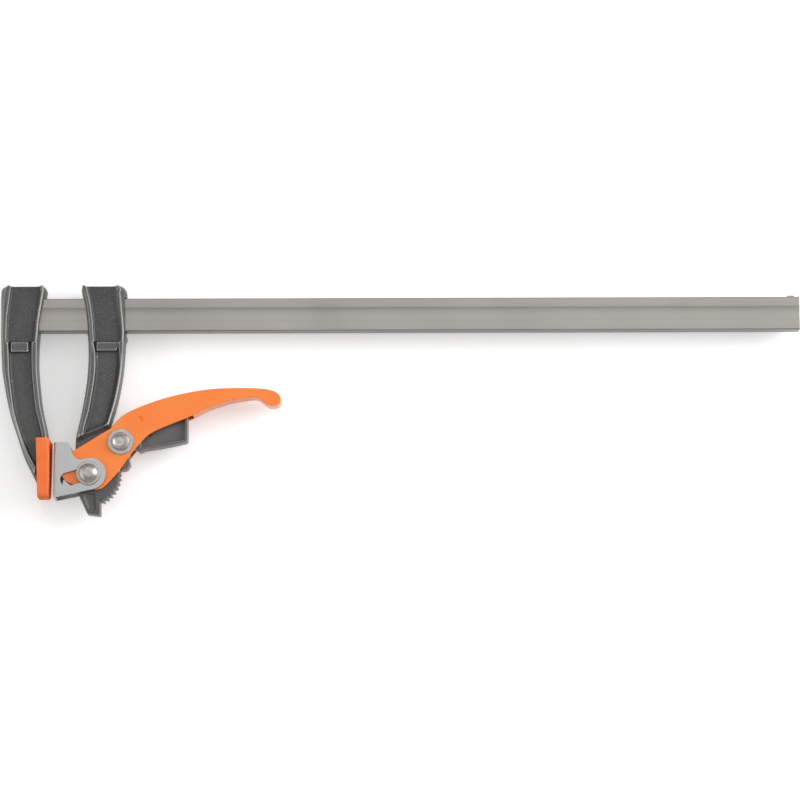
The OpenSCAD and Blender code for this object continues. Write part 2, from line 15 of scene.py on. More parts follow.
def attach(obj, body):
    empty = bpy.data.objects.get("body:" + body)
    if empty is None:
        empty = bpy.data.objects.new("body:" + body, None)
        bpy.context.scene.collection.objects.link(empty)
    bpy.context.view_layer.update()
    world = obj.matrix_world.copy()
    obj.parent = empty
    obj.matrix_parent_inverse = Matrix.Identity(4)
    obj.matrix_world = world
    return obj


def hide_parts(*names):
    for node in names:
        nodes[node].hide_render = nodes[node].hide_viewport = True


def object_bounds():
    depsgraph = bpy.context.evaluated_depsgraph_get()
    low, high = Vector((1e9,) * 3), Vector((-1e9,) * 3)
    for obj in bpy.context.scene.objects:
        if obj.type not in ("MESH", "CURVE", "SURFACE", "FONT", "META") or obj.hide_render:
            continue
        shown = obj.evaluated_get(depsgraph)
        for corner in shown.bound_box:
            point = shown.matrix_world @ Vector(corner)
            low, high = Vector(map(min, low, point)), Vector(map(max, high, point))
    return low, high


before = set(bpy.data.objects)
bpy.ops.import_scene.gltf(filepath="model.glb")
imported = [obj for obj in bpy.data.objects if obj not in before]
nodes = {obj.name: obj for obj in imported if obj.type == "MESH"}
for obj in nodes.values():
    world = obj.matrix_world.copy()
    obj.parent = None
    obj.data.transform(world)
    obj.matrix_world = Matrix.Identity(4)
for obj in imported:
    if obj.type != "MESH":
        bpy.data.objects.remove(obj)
cad_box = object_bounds()

# %% [markdown]
# ## The camera
# The clamp lies flat on a pale floor, and the picture is taken from almost straight above, leaning 9 degrees
# towards the jaws so that the undersides of the rail and the lever just show. A long lens from far away keeps
# the rail's edges nearly parallel. The camera comes first.

# %% Set up the camera
TARGET = Vector((0.2091, 0.0415, 0.0))
LEAN, ROLL = radians(9.0), radians(-0.165)
DISTANCE = 2.2
FOCAL_PER_METRE = 75.0
FILM_WIDTH = 36
back = Vector((0, -sin(LEAN), cos(LEAN)))
lens = bpy.data.cameras.new("camera")
lens.lens = FOCAL_PER_METRE * DISTANCE
lens.sensor_width = FILM_WIDTH
camera = bpy.data.objects.new("camera", lens)
camera.location = TARGET + back * DISTANCE
camera.rotation_mode = "QUATERNION"
camera.rotation_quaternion = (-back).to_track_quat("-Z", "Y") @ Quaternion((0, 0, 1), ROLL)
bpy.context.scene.collection.objects.link(camera)
bpy.context.scene.camera = camera
bpy.context.scene.view_settings.view_transform = "Standard"
print("camera at", tuple(round(c, 3) for c in camera.location), "lens", lens.lens)

# %% [markdown]
# ## Light and floor
# A product photographer hangs one wide softbox overhead, a little behind the rail, and smaller ones to the right
# and to the left. The overhead one lights the faces evenly, and the others pick out the edges that look their
# way. The floor lies where the clamp is lowest. A little light of its own makes it look white to the camera and in
# reflections, so that the shadow under the clamp stays soft and pale.

# %% Helpers for colours and node trees
def linear(hex_colour):
    """An sRGB hex colour as the linear values that the shader works with."""
    parts = [int(hex_colour[i:i + 2], 16) / 255 for i in (1, 3, 5)]
    return tuple(c / 12.92 if c <= 0.04045 else ((c + 0.055) / 1.055) ** 2.4 for c in parts) + (1.0,)


def add(tree, kind, inputs=None, ramp=None, **settings):
    """Adds a node. An input is a value, or a node and the name or number of its output to link from."""
    node = tree.nodes.new("ShaderNode" + kind)
    for key, value in settings.items():
        setattr(node, key, value)
    for socket, value in (inputs or {}).items():
        if isinstance(value, tuple) and isinstance(value[0], bpy.types.Node):
            tree.links.new(value[0].outputs[value[1]], node.inputs[socket])
        else:
            node.inputs[socket].default_value = value
    for place, colour in ramp or []:
        stops = node.color_ramp.elements
        stop = stops[0] if place == ramp[0][0] else stops[-1] if place == ramp[-1][0] else stops.new(place)
        stop.position = place
        stop.color = linear(colour)
    return node


print("mid grey", [round(c, 3) for c in linear("#808080")[:3]])

# %% Light the studio
# Each softbox has a place, a point that it looks at, its two sides in metres and its power in watts.
SOFTBOXES = {
    "overhead_softbox": ((0.45, 0.9, 2.6), (0.25, 0.1, 0), (2.6, 2.2), 18),
    "right_softbox": ((1.6, 0.5, 0.8), (0.2, 0.05, 0), (1.1, 0.9), 23),
    "left_softbox": ((-1.3, -0.1, 1.0), (0.05, 0.05, 0), (2.2, 0.6), 6.5),
}
SKY_LIGHT = 0.47
for name, (stand, aim, size, power) in SOFTBOXES.items():
    lamp = bpy.data.lights.new(name, "AREA")
    lamp.shape = "RECTANGLE"
    lamp.size, lamp.size_y = size
    lamp.energy = power
    box = bpy.data.objects.new(name, lamp)
    box.location = stand
    box.rotation_mode = "QUATERNION"
    box.rotation_quaternion = (Vector(aim) - Vector(stand)).to_track_quat("-Z", "Y")
    bpy.context.scene.collection.objects.link(box)
world = bpy.data.worlds.new("studio")
world.use_nodes = True
bpy.context.scene.world = world
sky = world.node_tree
sky.nodes.clear()
path = add(sky, "LightPath")
seen = add(sky, "Math", {0: (path, "Is Camera Ray"), 1: (path, "Is Transmission Ray")}, operation="MAXIMUM")
bright = add(sky, "Math", {0: (seen, 0), 1: 1 - SKY_LIGHT, 2: SKY_LIGHT}, operation="MULTIPLY_ADD")
air = add(sky, "Background", {"Strength": (bright, 0)})
add(sky, "OutputWorld", {"Surface": (air, 0)})

# %% Lay the floor
FLOOR_HALF = 6
FLOOR_GLOW = 0.36
floor_mesh = bpy.data.meshes.new("floor")
bm = bmesh.new()
bmesh.ops.create_grid(bm, x_segments=1, y_segments=1, size=FLOOR_HALF)
bmesh.ops.translate(bm, verts=bm.verts, vec=(0, 0, cad_box[0].z))
bm.to_mesh(floor_mesh)
bm.free()
floor = bpy.data.objects.new("floor", floor_mesh)
bpy.context.scene.collection.objects.link(floor)
paper = bpy.data.materials.new("white_paper_sweep")
paper.use_nodes = True
tree = paper.node_tree
tree.nodes.clear()
path = add(tree, "LightPath")
seen = add(tree, "Math", {0: (path, "Is Camera Ray"), 1: (path, "Is Glossy Ray")}, operation="MAXIMUM")
seen = add(tree, "Math", {0: (seen, 0), 1: (path, "Is Transmission Ray")}, operation="MAXIMUM")
lift = add(tree, "Math", {0: (seen, 0), 1: FLOOR_GLOW}, operation="MULTIPLY")
glow = add(tree, "Emission", {"Strength": (lift, 0)})
matt = add(tree, "BsdfDiffuse", {"Color": linear("#f0f0ef")})
both = add(tree, "AddShader", {0: (matt, 0), 1: (glow, 0)})
add(tree, "OutputMaterial", {"Surface": (both, 0)})
floor_mesh.materials.append(paper)
print("floor at", round(cad_box[0].z * 1000, 2), "mm")

# %% [markdown]
# ## Finishes
# Every finish starts from what the real one is. Patterns are set out in object coordinates, where one unit is a
# metre, so a pattern whose grains are d millimetres wide has a scale of 1000 / d.


# %% Start a material
def finish(name, colour, roughness, metallic=0.0, **sockets):
    """A material with one principled shader. Gives the material, its tree, the shader and the coordinates."""
    material = bpy.data.materials.new(name)
    material.use_nodes = True
    tree = material.node_tree
    tree.nodes.clear()
    shader = add(tree, "BsdfPrincipled", {
        "Base Color": linear(colour), "Roughness": roughness, "Metallic": metallic,
        **{key.replace("_", " "): value for key, value in sockets.items()},
    })
    add(tree, "OutputMaterial", {"Surface": (shader, 0)})
    return material, tree, shader, add(tree, "TexCoord")


def dress(tree, shader, colour, slope, rough=None):
    """Links what a finish is made of to its shader."""
    for socket, source in (("Base Color", colour), ("Roughness", rough), ("Normal", slope)):
        if source:
            tree.links.new(source[0].outputs[source[1]], shader.inputs[socket])


# %% [markdown]
# ### Steps of a pattern
# A pattern is a chain of small steps. Each step below gives a node and the number or name of its output, which is
# how the next step takes it in.


# %% Steps of a pattern
def grains(width):
    """The scale of a pattern whose grains are this many millimetres wide."""
    return 1000.0 / width


def noise(tree, place, width, detail=3.0, **settings):
    """Cloudy noise with grains of a width."""
    inputs = {"Vector": (place, "Object"), "Scale": grains(width), "Detail": detail, **settings}
    return add(tree, "TexNoise", inputs), 0


def sums(tree, operation, *values):
    """One operation of arithmetic on a few values."""
    return add(tree, "Math", dict(enumerate(values)), operation=operation), 0


def either_way(tree, source, axis):
    """One coordinate without its sign, so that both sides of the clamp look alike."""
    return sums(tree, "ABSOLUTE", (add(tree, "SeparateXYZ", {0: source}), axis))


def spread(tree, source, low, high, start=0.0, end=1.0):
    """The range from low to high spread out from start to end."""
    inputs = {"Value": source, "From Min": low, "From Max": high, "To Min": start, "To Max": end}
    return add(tree, "MapRange", inputs), 0


def tinted(tree, source, dark, light, low=0.3, high=0.7):
    """A colour that goes from dark to light as a value goes from low to high."""
    return add(tree, "ValToRGB", {"Fac": source}, ramp=[(low, dark), (high, light)]), 0


def mixed(tree, share, colour, other):
    """A share of another colour over a colour."""
    return add(tree, "Mix", {0: share, 6: colour, 7: linear(other)}, data_type="RGBA"), 2


def relief(tree, height, strength, depth):
    """A pattern as bumps that are this many millimetres deep."""
    return add(tree, "Bump", {"Height": height, "Strength": strength, "Distance": depth * 0.001}), 0


def sharpness(tree, low, high, end):
    """How much an edge of the mesh stands out."""
    return spread(tree, (add(tree, "NewGeometry"), "Pointiness"), low, high, end=end)


print("a grain of 0.5 mm has scale", grains(0.5))

# %% [markdown]
# ### Cold-drawn bright steel
# The rail is drawn through a die, which leaves fine lines along its length. Noise stretched nearly a hundredfold
# along the rail gives these lines, in the roughness and a shallow bump, and a little in the colour. The narrow
# edges, found by the way they face, are coloured darker than the wide faces.

# %% Make the drawn steel
LINE_LENGTH, LINE_WIDTH = 40, 0.5
drawn_steel, tree, shader, place = finish("cold_drawn_steel", "#aba7a2", 0.4, 1.0)
stretch = (grains(LINE_LENGTH), grains(LINE_WIDTH), grains(LINE_WIDTH))
along = add(tree, "Mapping", {"Vector": (place, "Object"), "Scale": stretch})
lines = add(tree, "TexNoise", {"Vector": (along, 0), "Scale": 1.0, "Detail": 4.0, "Roughness": 0.6}), 0
both = sums(tree, "ADD", lines, noise(tree, place, 60, 2.0))
tint = tinted(tree, sums(tree, "MULTIPLY", both, 0.5), "#96928d", "#a8a5a0")
# The faces that look up or down, the narrow edges, are coloured darker.
narrow = spread(tree, either_way(tree, (place, "Normal"), "Y"), 0.75, 0.97)
dress(tree, shader, mixed(tree, narrow, tint, "#7f7c78"), relief(tree, lines, 0.25, 0.02),
      rough=spread(tree, lines, 0.3, 0.7, 0.34, 0.46))
print(drawn_steel.name)

# %% [markdown]
# ### Powder-coated iron
# The arms are cast iron under a dark grey powder coat. The powder melts into small bumps that sparkle where the
# light comes from the side, and pale flecks in the colour add a painted sparkle. The height across the clamp tells
# the raised rims, which are rubbed a little paler than the panels, from the webs and the foot, which are coloured
# paler as well. The pointiness of the mesh finds the sharp ridges. At the rims' height they are painted pale,
# partly where the coat has worn through and partly as a painted highlight where the rounded edges catch the light.

# %% Make the powder coat
powder_coat, tree, shader, place = finish("powder_coated_iron", "#3b3b3b", 0.42)
grit = noise(tree, place, 0.9, Roughness=0.65)
across = either_way(tree, (place, "Object"), "Z")
shade = tinted(tree, noise(tree, place, 14), "#353535", "#434343")
# The webs and the foot, where the height across the clamp is smaller, are coloured paler.
shade = mixed(tree, spread(tree, across, 0.0072, 0.0048, end=0.6), shade, "#5a5a58")
shade = mixed(tree, spread(tree, across, 0.0078, 0.0086, end=0.8), shade, "#585857")
# Pale flecks: a painted sparkle of the powder's bumps.
shade = mixed(tree, spread(tree, grit, 0.55, 0.72, end=0.6), shade, "#868684")
# Sharp ridges at the rims' height are painted pale: worn coat, and a painted highlight on the rounded edges.
outer_ridge_share = spread(tree, across, 0.0076, 0.0084, start=0.3)
worn_and_highlit_ridges = sums(tree, "MULTIPLY", sharpness(tree, 0.515, 0.555, 0.95), outer_ridge_share)
dress(tree, shader, mixed(tree, worn_and_highlit_ridges, shade, "#cdcdc8"), relief(tree, grit, 0.5, 0.12))
print(powder_coat.name)

# %% [markdown]
# ### Stove enamel
# The lever's orange enamel is sprayed and baked. It flows into a glossy skin with a faint ripple, the orange
# peel, about 2 mm from crest to crest.

# %% Make the enamel
enamel, tree, shader, place = finish(
    "orange_stove_enamel", "#fd8015", 0.34, Coat_Weight=0.35, Coat_Roughness=0.12)
tint = tinted(tree, noise(tree, place, 35, 2.0), "#fc7a10", "#ff861b")
dress(tree, shader, tint, relief(tree, noise(tree, place, 2.2, 2.0), 0.12, 0.1))
print(enamel.name)

# %% [markdown]
# ### Moulded polyamide
# The pad is a moulded plastic cap, a little pinker than the lever and quite matt, with a fine spark-eroded grain.

# %% Make the pad's plastic
polyamide, tree, shader, place = finish("moulded_polyamide", "#fd7d43", 0.65, Specular_IOR_Level=0.1)
tint = tinted(tree, noise(tree, place, 9, 2.0), "#fc7a40", "#ff854d")
dress(tree, shader, tint, relief(tree, noise(tree, place, 0.6), 0.2, 0.06))
print(polyamide.name)

# %% [markdown]
# ### Zinc plating
# The pressure plate, the rivets and the washers are zinc plated steel. The sheet has a satin plate with a faint
# cloudiness, and the rivets are brighter, with small marks of the riveting tool. Plain ground or drawn steel has
# the same pattern in other sizes.


# %% Make the plated and plain steels
def metal(name, dark, light, low, high, cloud_width, mark_width, mark_depth):
    """Steel that is cloudy in colour and in roughness, from low to high, with small marks."""
    material, tree, shader, place = finish(name, light, high, 1.0)
    cloud = noise(tree, place, cloud_width, 4.0)
    marks = relief(tree, noise(tree, place, mark_width), 0.3, mark_depth)
    dress(tree, shader, tinted(tree, cloud, dark, light, 0.32, 0.68), marks,
          rough=spread(tree, cloud, 0.3, 0.7, low, high))
    return material


satin_zinc = metal("satin_zinc_plate", "#b3b3b4", "#c0c0c0", 0.34, 0.46, 8, 0.8, 0.02)
bright_zinc = metal("bright_zinc_plate", "#a39f9a", "#c4c1bd", 0.32, 0.46, 2.5, 0.8, 0.08)
ground_steel = metal("ground_pin_steel", "#979490", "#aaa7a3", 0.26, 0.36, 3, 0.5, 0.02)
spring_wire = metal("drawn_spring_wire", "#7d7a77", "#8f8c88", 0.28, 0.4, 2, 0.4, 0.02)
print([m.name for m in (satin_zinc, bright_zinc, ground_steel, spring_wire)])

# %% [markdown]
# ### Grey coated casting
# The trigger is a small casting with a satin grey coat, paler and smoother than the arms. Its sharp edges get a
# painted highlight.

# %% Make the trigger's coat
grey_coat, tree, shader, place = finish("satin_grey_coat", "#626060", 0.42)
shade = tinted(tree, noise(tree, place, 10), "#595757", "#676565")
# The sharp edges are painted pale: a painted highlight where the rims catch the light.
highlit_edges = mixed(tree, sharpness(tree, 0.515, 0.57, 0.6), shade, "#b5b3b0")
dress(tree, shader, highlit_edges, relief(tree, noise(tree, place, 0.8), 0.3, 0.08))
print(grey_coat.name)

# %% [markdown]
# ## Shaping tools
# Three ways of making cover nearly all of the clamp: an outline drawn flat and extruded, a section carried along
# a row of stations, and a profile turned round an axis. Each starts from a few points and lets Blender's own
# operators make the body.


# %% Curves and outlines
TURNED_SIDES = 96


def smooth_curve(points, steps=4):
    """A curve through all the points, with this many short lines from each point to the next."""
    last = len(points) - 1
    curve = []
    for i in range(last):
        near = [Vector(points[k]) for k in (max(i - 1, 0), i, i + 1, min(i + 2, last))]
        for s in range(steps):
            a, b, c, d = near
            t = s / steps
            p = (2 * b + (c - a) * t + (2 * a - 5 * b + 4 * c - d) * t ** 2 + (3 * b - a - 3 * c + d) * t ** 3) / 2
            curve.append((p.x, p.y))
    return curve + [tuple(points[last])]


def scaled(shares, sizes, start):
    """Points given as shares of two sizes, set out from a start."""
    return [(start[0] + x * sizes[0], start[1] + y * sizes[1]) for x, y in shares]


def arc(centre, radius, start, end, steps=24):
    """Points on a round from one angle to another, in degrees."""
    turns = [radians(start + (end - start) * i / steps) for i in range(steps + 1)]
    return [(centre[0] + radius * cos(a), centre[1] + radius * sin(a)) for a in turns]


def draw(bm, points, z):
    """One flat face with these corners."""
    return bm.faces.new([bm.verts.new((x, y, z)) for x, y in points])


def extrude(bm, faces, vector):
    """Pulls faces out along a vector, and gives the faces at the new end."""
    out = bmesh.ops.extrude_face_region(bm, geom=faces)["geom"]
    bmesh.ops.translate(bm, verts=[v for v in out if isinstance(v, bmesh.types.BMVert)], vec=vector)
    return [f for f in out if isinstance(f, bmesh.types.BMFace)]


def slab(points, low, high):
    """A new mesh: an outline given a thickness from one height to another."""
    bm = bmesh.new()
    extrude(bm, [draw(bm, points, low)], (0, 0, high - low))
    bmesh.ops.recalc_face_normals(bm, faces=bm.faces)
    return bm


def plug(centre, radius, low, high, sides=48):
    """A new mesh: a round plug across the clamp, to add or to bore with."""
    return slab(arc(centre, radius, 0, 360 - 360 / sides, sides - 1), low, high)


def turned(profile, centre, closed=False):
    """A new mesh: a profile of (radius, height) points turned round an axis across the clamp."""
    bm = bmesh.new()
    verts = [bm.verts.new((r, 0, z)) for r, z in profile]
    pairs = list(zip(verts, verts[1:])) + ([(verts[-1], verts[0])] if closed else [])
    edges = [bm.edges.new(pair) for pair in pairs]
    bmesh.ops.spin(bm, geom=verts + edges, axis=(0, 0, 1), angle=2 * pi, steps=TURNED_SIDES, use_merge=True)
    bmesh.ops.remove_doubles(bm, verts=bm.verts, dist=0.001)
    bmesh.ops.recalc_face_normals(bm, faces=bm.faces)
    bmesh.ops.translate(bm, verts=bm.verts, vec=(*centre, 0))
    return bm


def bevel(bm, edges, offset, segments, **settings):
    """Rounds off some edges of a mesh."""
    bmesh.ops.bevel(bm, geom=list(edges), offset=offset, segments=segments, profile=0.5, affect="EDGES",
                    material=-1, **settings)


print("a quarter round has", len(arc((0, 0), 5, 0, 90)), "points")


# %% Modifiers and finished pieces
def shown(bm, name):
    """Puts a mesh into the scene as an object."""
    mesh = bpy.data.meshes.new(name)
    bm.to_mesh(mesh)
    bm.free()
    thing = bpy.data.objects.new(name, mesh)
    bpy.context.scene.collection.objects.link(thing)
    return thing


def worked(bm, *steps):
    """A new mesh: this one after some modifiers, each a kind and its settings."""
    thing = shown(bm, "in_work")
    for kind, settings in steps:
        modifier = thing.modifiers.new(kind, kind)
        for key, value in settings.items():
            setattr(modifier, key, value)
    graph = bpy.context.evaluated_depsgraph_get()
    made = bpy.data.meshes.new_from_object(thing.evaluated_get(graph))
    result = bmesh.new()
    result.from_mesh(made)
    bpy.data.objects.remove(thing)
    bpy.data.meshes.remove(made)
    return result


def joined(bm, other, operation="DIFFERENCE"):
    """A new mesh: one body cut by another, or united with it."""
    tool = shown(other, "tool")
    result = worked(bm, ("BOOLEAN", {"object": tool, "operation": operation, "solver": "EXACT"}))
    bpy.data.objects.remove(tool)
    return result


def cast(bm, grain):
    """A new mesh: the overlapping bodies of a casting melted into one skin, with softened edges."""
    return worked(
        bm,
        ("REMESH", {"mode": "VOXEL", "voxel_size": grain}),
        ("SMOOTH", {"factor": 0.5, "iterations": 2}),
    )


def add_body(bm, other):
    """Adds a second body to a mesh, and empties its own."""
    part = bpy.data.meshes.new("part")
    other.to_mesh(part)
    other.free()
    bm.from_mesh(part)
    bpy.data.meshes.remove(part)


def finished(bm, name, body, slot, material, *stands_for, sharp=35):
    """Brings a mesh to metres and makes it a piece of the clamp."""
    bmesh.ops.remove_doubles(bm, verts=bm.verts, dist=0.0005)
    bmesh.ops.scale(bm, verts=bm.verts, vec=(0.001, 0.001, 0.001))
    open_edges = sum(not e.is_manifold for e in bm.edges)
    piece = shown(bm, name)
    piece.data.shade_smooth()
    piece.data.set_sharp_from_angle(angle=radians(sharp))
    piece.data.materials.append(material)
    even = piece.modifiers.new("even_shading", "WEIGHTED_NORMAL")
    even.keep_sharp = True
    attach(piece, body)
    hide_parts(*stands_for)
    print(name, "faces", len(piece.data.polygons), "open edges", open_edges)


CAST_SHARP = 70
print("a casting stays smooth up to", CAST_SHARP, "degrees")

# %% [markdown]
# ## The rail
# The rail is a drawn bar, 20 by 10 mm, with a very shallow hollow along each face and soft corners. The hollow
# starts in a small step, which shows as a thin dark line at its upper side. The section is drawn once and extruded
# over the whole length. The ends are sawn and deburred, so their edges get a small bevel. Near the free end a punch
# has raised a burr that keeps the sliding arm on the rail.

# %% Make the rail
RAIL_MID, RAIL_HALF_H, RAIL_HALF_T = 93.0, 10, 5
RAIL_ENDS = (-29.5, 449.5)
CORNER_R, SAWN_BEVEL = 0.7, 0.35
HOLLOW_HALF, HOLLOW_DEPTH = 4.8, 0.5
STEP_WIDE, STEP_DEEP = 0.9, 0.2
BURR = [(441.9, 102.4), (442.4, 104.2), (446.3, 104.2), (447.5, 102.4)]
BURR_HALF, BURR_BEVEL = 2.5, 0.25
inner, sag = HOLLOW_HALF - STEP_WIDE, HOLLOW_DEPTH - STEP_DEEP
hollow_r = (inner ** 2 + sag ** 2) / (2 * sag)
hollow_turn = degrees(asin(inner / hollow_r))
hollow = arc((0, RAIL_HALF_T - HOLLOW_DEPTH + hollow_r), hollow_r, 270 - hollow_turn, 270 + hollow_turn, 14)
hollow = [(-HOLLOW_HALF, RAIL_HALF_T)] + hollow + [(HOLLOW_HALF, RAIL_HALF_T)]
corner = arc((RAIL_HALF_H - CORNER_R, RAIL_HALF_T - CORNER_R), CORNER_R, 90, 0, 4)
upper = [(-x, z) for x, z in reversed(corner)] + hollow + corner
rail_section = upper + [(x, -z) for x, z in reversed(upper)]
bm = bmesh.new()
face = bm.faces.new([bm.verts.new((RAIL_ENDS[0], RAIL_MID + y, z)) for y, z in rail_section])
extrude(bm, [face], (RAIL_ENDS[1] - RAIL_ENDS[0], 0, 0))
bevel(bm, [e for e in bm.edges if any(len(f.verts) > 4 for f in e.link_faces)], SAWN_BEVEL, 2)
bmesh.ops.recalc_face_normals(bm, faces=bm.faces)
burr = slab(BURR, -BURR_HALF, BURR_HALF)
bevel(burr, burr.edges, BURR_BEVEL, 2)
finished(joined(bm, burr, "UNION"), "rail_bar", "frame", "rail_steel", drawn_steel, "rail")

# %% [markdown]
# ## The arms
# Both arms are castings with a thick rim, thin in the middle like an I-beam. Their sides slope towards the
# mould's parting line, so each section is a long hexagon with a hollow in each face. The section changes along
# the arm, so it is carried down a row of stations: at each height, two curves give the outer edges, and a table
# gives how wide the shoulder, the rim's flat and the inner wall are there.

# %% Stations of an arm
RIM_Z = 9.2
PARTING_Z = 2.2
PANEL_Z, WEB_Z = 7.2, 5.6


def at_height(curve, y):
    """Where a curve crosses a height."""
    for (x0, y0), (x1, y1) in zip(curve, curve[1:]):
        if min(y0, y1) <= y <= max(y0, y1) and y0 != y1:
            return x0 + (x1 - x0) * (y - y0) / (y1 - y0)
    ends = sorted((curve[0], curve[-1]), key=lambda p: abs(p[1] - y))
    return ends[0][0]


def between(rows, y):
    """The values of a table at a height. The rows go down, each with its height first."""
    if y >= rows[0][0]:
        return rows[0][1:]
    for high, low in zip(rows, rows[1:]):
        if high[0] >= y >= low[0]:
            t = (high[0] - y) / (high[0] - low[0])
            return [a + (b - a) * t for a, b in zip(high[1:], low[1:])]
    return rows[-1][1:]


def arm_section(left, right, widths, limit=None):
    """Half of an arm's section, from its left edge to its right edge, as (x, z) points, cut off at a limit."""
    shoulder_l, flat_l, wall_l, wall_r, flat_r, shoulder_r, deep = widths
    rim = left + shoulder_l
    wall = rim + flat_l
    ridge = right - shoulder_r
    slope = ridge - flat_r
    half = [
        (left, PARTING_Z), (left + 0.35 * shoulder_l, 0.6 * RIM_Z), (rim, RIM_Z), (wall, RIM_Z),
        (wall + wall_l, deep), (slope - wall_r, deep), (slope, RIM_Z), (ridge, RIM_Z),
        (right - 0.3 * shoulder_r, 0.6 * RIM_Z), (right, PARTING_Z),
    ]
    if limit is not None:
        half = [(min(x, limit), z if x < limit else min(z, deep)) for x, z in half]
    return half


def loft(rings):
    """A new mesh: a closed body carried through rings that all have the same number of points."""
    bm = bmesh.new()
    number = bm.verts.layers.int.new("number")
    verts = [bm.verts.new(p) for p in rings[0]]
    for k, v in enumerate(verts):
        v[number] = k
    face = bm.faces.new(verts)
    for ring in rings[1:]:
        face = extrude(bm, [face], (0, 0, 0))[0]
        for v in face.verts:
            v.co = ring[v[number]]
    bmesh.ops.recalc_face_normals(bm, faces=bm.faces)
    return bm


def ring_at(half, height):
    """A whole ring from half a section. The height may be a number, or a function of x."""
    level = height if callable(height) else (lambda x: height)
    front = [(x, level(x), z) for x, z in half]
    return front + [(x, y, -z) for x, y, z in reversed(front)]


def rings_down(left, right, widths, heights):
    """The rings of an arm between two curves, from the highest to the lowest."""
    return [ring_at(arm_section(at_height(left, y), at_height(right, y), between(widths, y)), y)
            for y in sorted(heights, reverse=True)]


TOP, HORN_TOP = 110.05, 110.95
HORN_R, HORN_ROOT = 0.95, 3.5
RIB_Z = 8.5
TOP_HEIGHTS = {TOP, 109, 107.5}
RIB_HEIGHTS = {76.4, 75.6, 72.6, 69.7}


def add_horns_and_rib(bm, horns, rib):
    """Adds the small round horns in which the rims end at an arm's top, and the rib below the rail."""
    for x in horns:
        root = [(x + HORN_R, HORN_TOP - HORN_ROOT), (x - HORN_R, HORN_TOP - HORN_ROOT)]
        add_body(bm, slab(arc((x, HORN_TOP - HORN_R), HORN_R, 180, 0, 8) + root, -RIM_Z, RIM_Z))
    add_body(bm, slab(rib, -RIB_Z, RIB_Z))


print("rim at", RIM_Z, "mm, panel at", PANEL_Z, "mm, web at", WEB_Z, "mm")

# %% Cast the fixed arm
fixed_left = smooth_curve([
    (-29.4, 110.2), (-30.6, 108.9), (-30.9, 106.0), (-30.7, 93.9), (-30.5, 77.7), (-29.6, 60.3), (-28.2, 51.3),
    (-26.3, 41.1), (-23.7, 30.6), (-20.4, 20.9), (-15.9, 7.4), (-12.2, -0.4), (-9.1, -6.6), (-8.4, -8),
])
fixed_right = smooth_curve([
    (-4.3, 110.2), (-3.2, 108.6), (-3.0, 106.4), (-4.2, 102), (-5.4, 97.4), (-6.4, 93), (-7.0, 88), (-7.2, 80.7),
    (-7.8, 71.7), (-7.9, 65), (-7.6, 58.5), (-6.4, 46.5), (-4.9, 35.7), (-3.4, 29.1), (-1.7, 21.3), (-1.4, 17.9),
])
# Each row: a height, the left shoulder, flat and wall, the right wall, flat and shoulder, and the panel's height.
fixed_widths = [
    (110.2, 3.1, 3.0, 0.8, 2.4, 0.9, 1.4, PANEL_Z), (107, 3.1, 3.0, 0.8, 2.4, 0.9, 2.0, PANEL_Z),
    (98, 1.9, 3.0, 0.8, 2.6, 0.9, 0.9, PANEL_Z), (92, 1.7, 2.4, 0.8, 2.6, 0.9, 0.5, PANEL_Z),
    (76.4, 1.5, 2.0, 0.8, 2.2, 0.9, 1.1, PANEL_Z), (75.6, 1.6, 3.0, 0.8, 0.7, 2.9, 0.9, WEB_Z),
    (69.7, 1.8, 3.0, 0.8, 0.7, 3.0, 0.5, WEB_Z), (63, 1.8, 2.9, 0.8, 0.8, 2.9, 0.5, WEB_Z),
    (45, 1.7, 2.1, 0.8, 0.8, 2.9, 0.7, WEB_Z), (35, 1.5, 1.6, 0.8, 0.8, 3.0, 0.7, WEB_Z),
    (19, 1.3, 1.3, 0.8, 0.8, 2.6, 0.6, WEB_Z), (9, 1.6, 1.8, 0.8, 0.8, 2.6, 0.6, WEB_Z),
    (2, 2.0, 2.2, 0.8, 0.8, 2.6, 0.6, WEB_Z),
]
PAD_BACK, PAD_TOP = -8.05, 17.8
rings = rings_down(fixed_left, fixed_right, fixed_widths,
                   TOP_HEIGHTS | RIB_HEIGHTS | {PAD_TOP + 0.1} | set(range(20, 107, 3)))
for y in (PAD_TOP, 15, 12, 9, 6, 3, 0, -3, -6, -7.9):
    half = arm_section(at_height(fixed_left, y), 0, between(fixed_widths, y), PAD_BACK)
    rings.append(ring_at(half, y))
fixed_arm = loft(rings)
add_horns_and_rib(fixed_arm, (-25.7, -5.7), [(-23.9, 70.2), (-13.4, 70.2), (-13.8, 75.8), (-23.9, 75.8)])
print("fixed arm stations", len(rings))

# %% Give the fixed arm its jaw and its hole
PAD_HALF, PAD_WIDE, PAD_NARROW = 17.7, 13.0, 7.5
BACK_TAPER = 0.8
JAW_INSET, JAW_BACK, JAW_FRONT = 2.25, -8.3, -3.4
CAST_GRAIN = 0.42


def pad_outline(inset):
    """The pad's outline across the clamp, as (z, y) points."""
    low = -PAD_HALF + inset
    wide, narrow = PAD_WIDE - inset, PAD_NARROW - inset
    return [(wide, PAD_HALF), (-wide, PAD_HALF), (-narrow, low), (narrow, low)]


def block(outline, x_from, x_to):
    """A new mesh: an outline of (z, y) points given a thickness along the rail."""
    bm = bmesh.new()
    face = bm.faces.new([bm.verts.new((x_from, y, z)) for z, y in outline])
    extrude(bm, [face], (x_to - x_from, 0, 0))
    bmesh.ops.recalc_face_normals(bm, faces=bm.faces)
    return bm


def tapered(bm):
    """Brings the lower end of a block's back nearer to the clamping face."""
    lower_back = [v for v in bm.verts if v.co.x < -7 and v.co.y < 0]
    bmesh.ops.translate(bm, verts=lower_back, vec=(BACK_TAPER, 0, 0))
    return bm


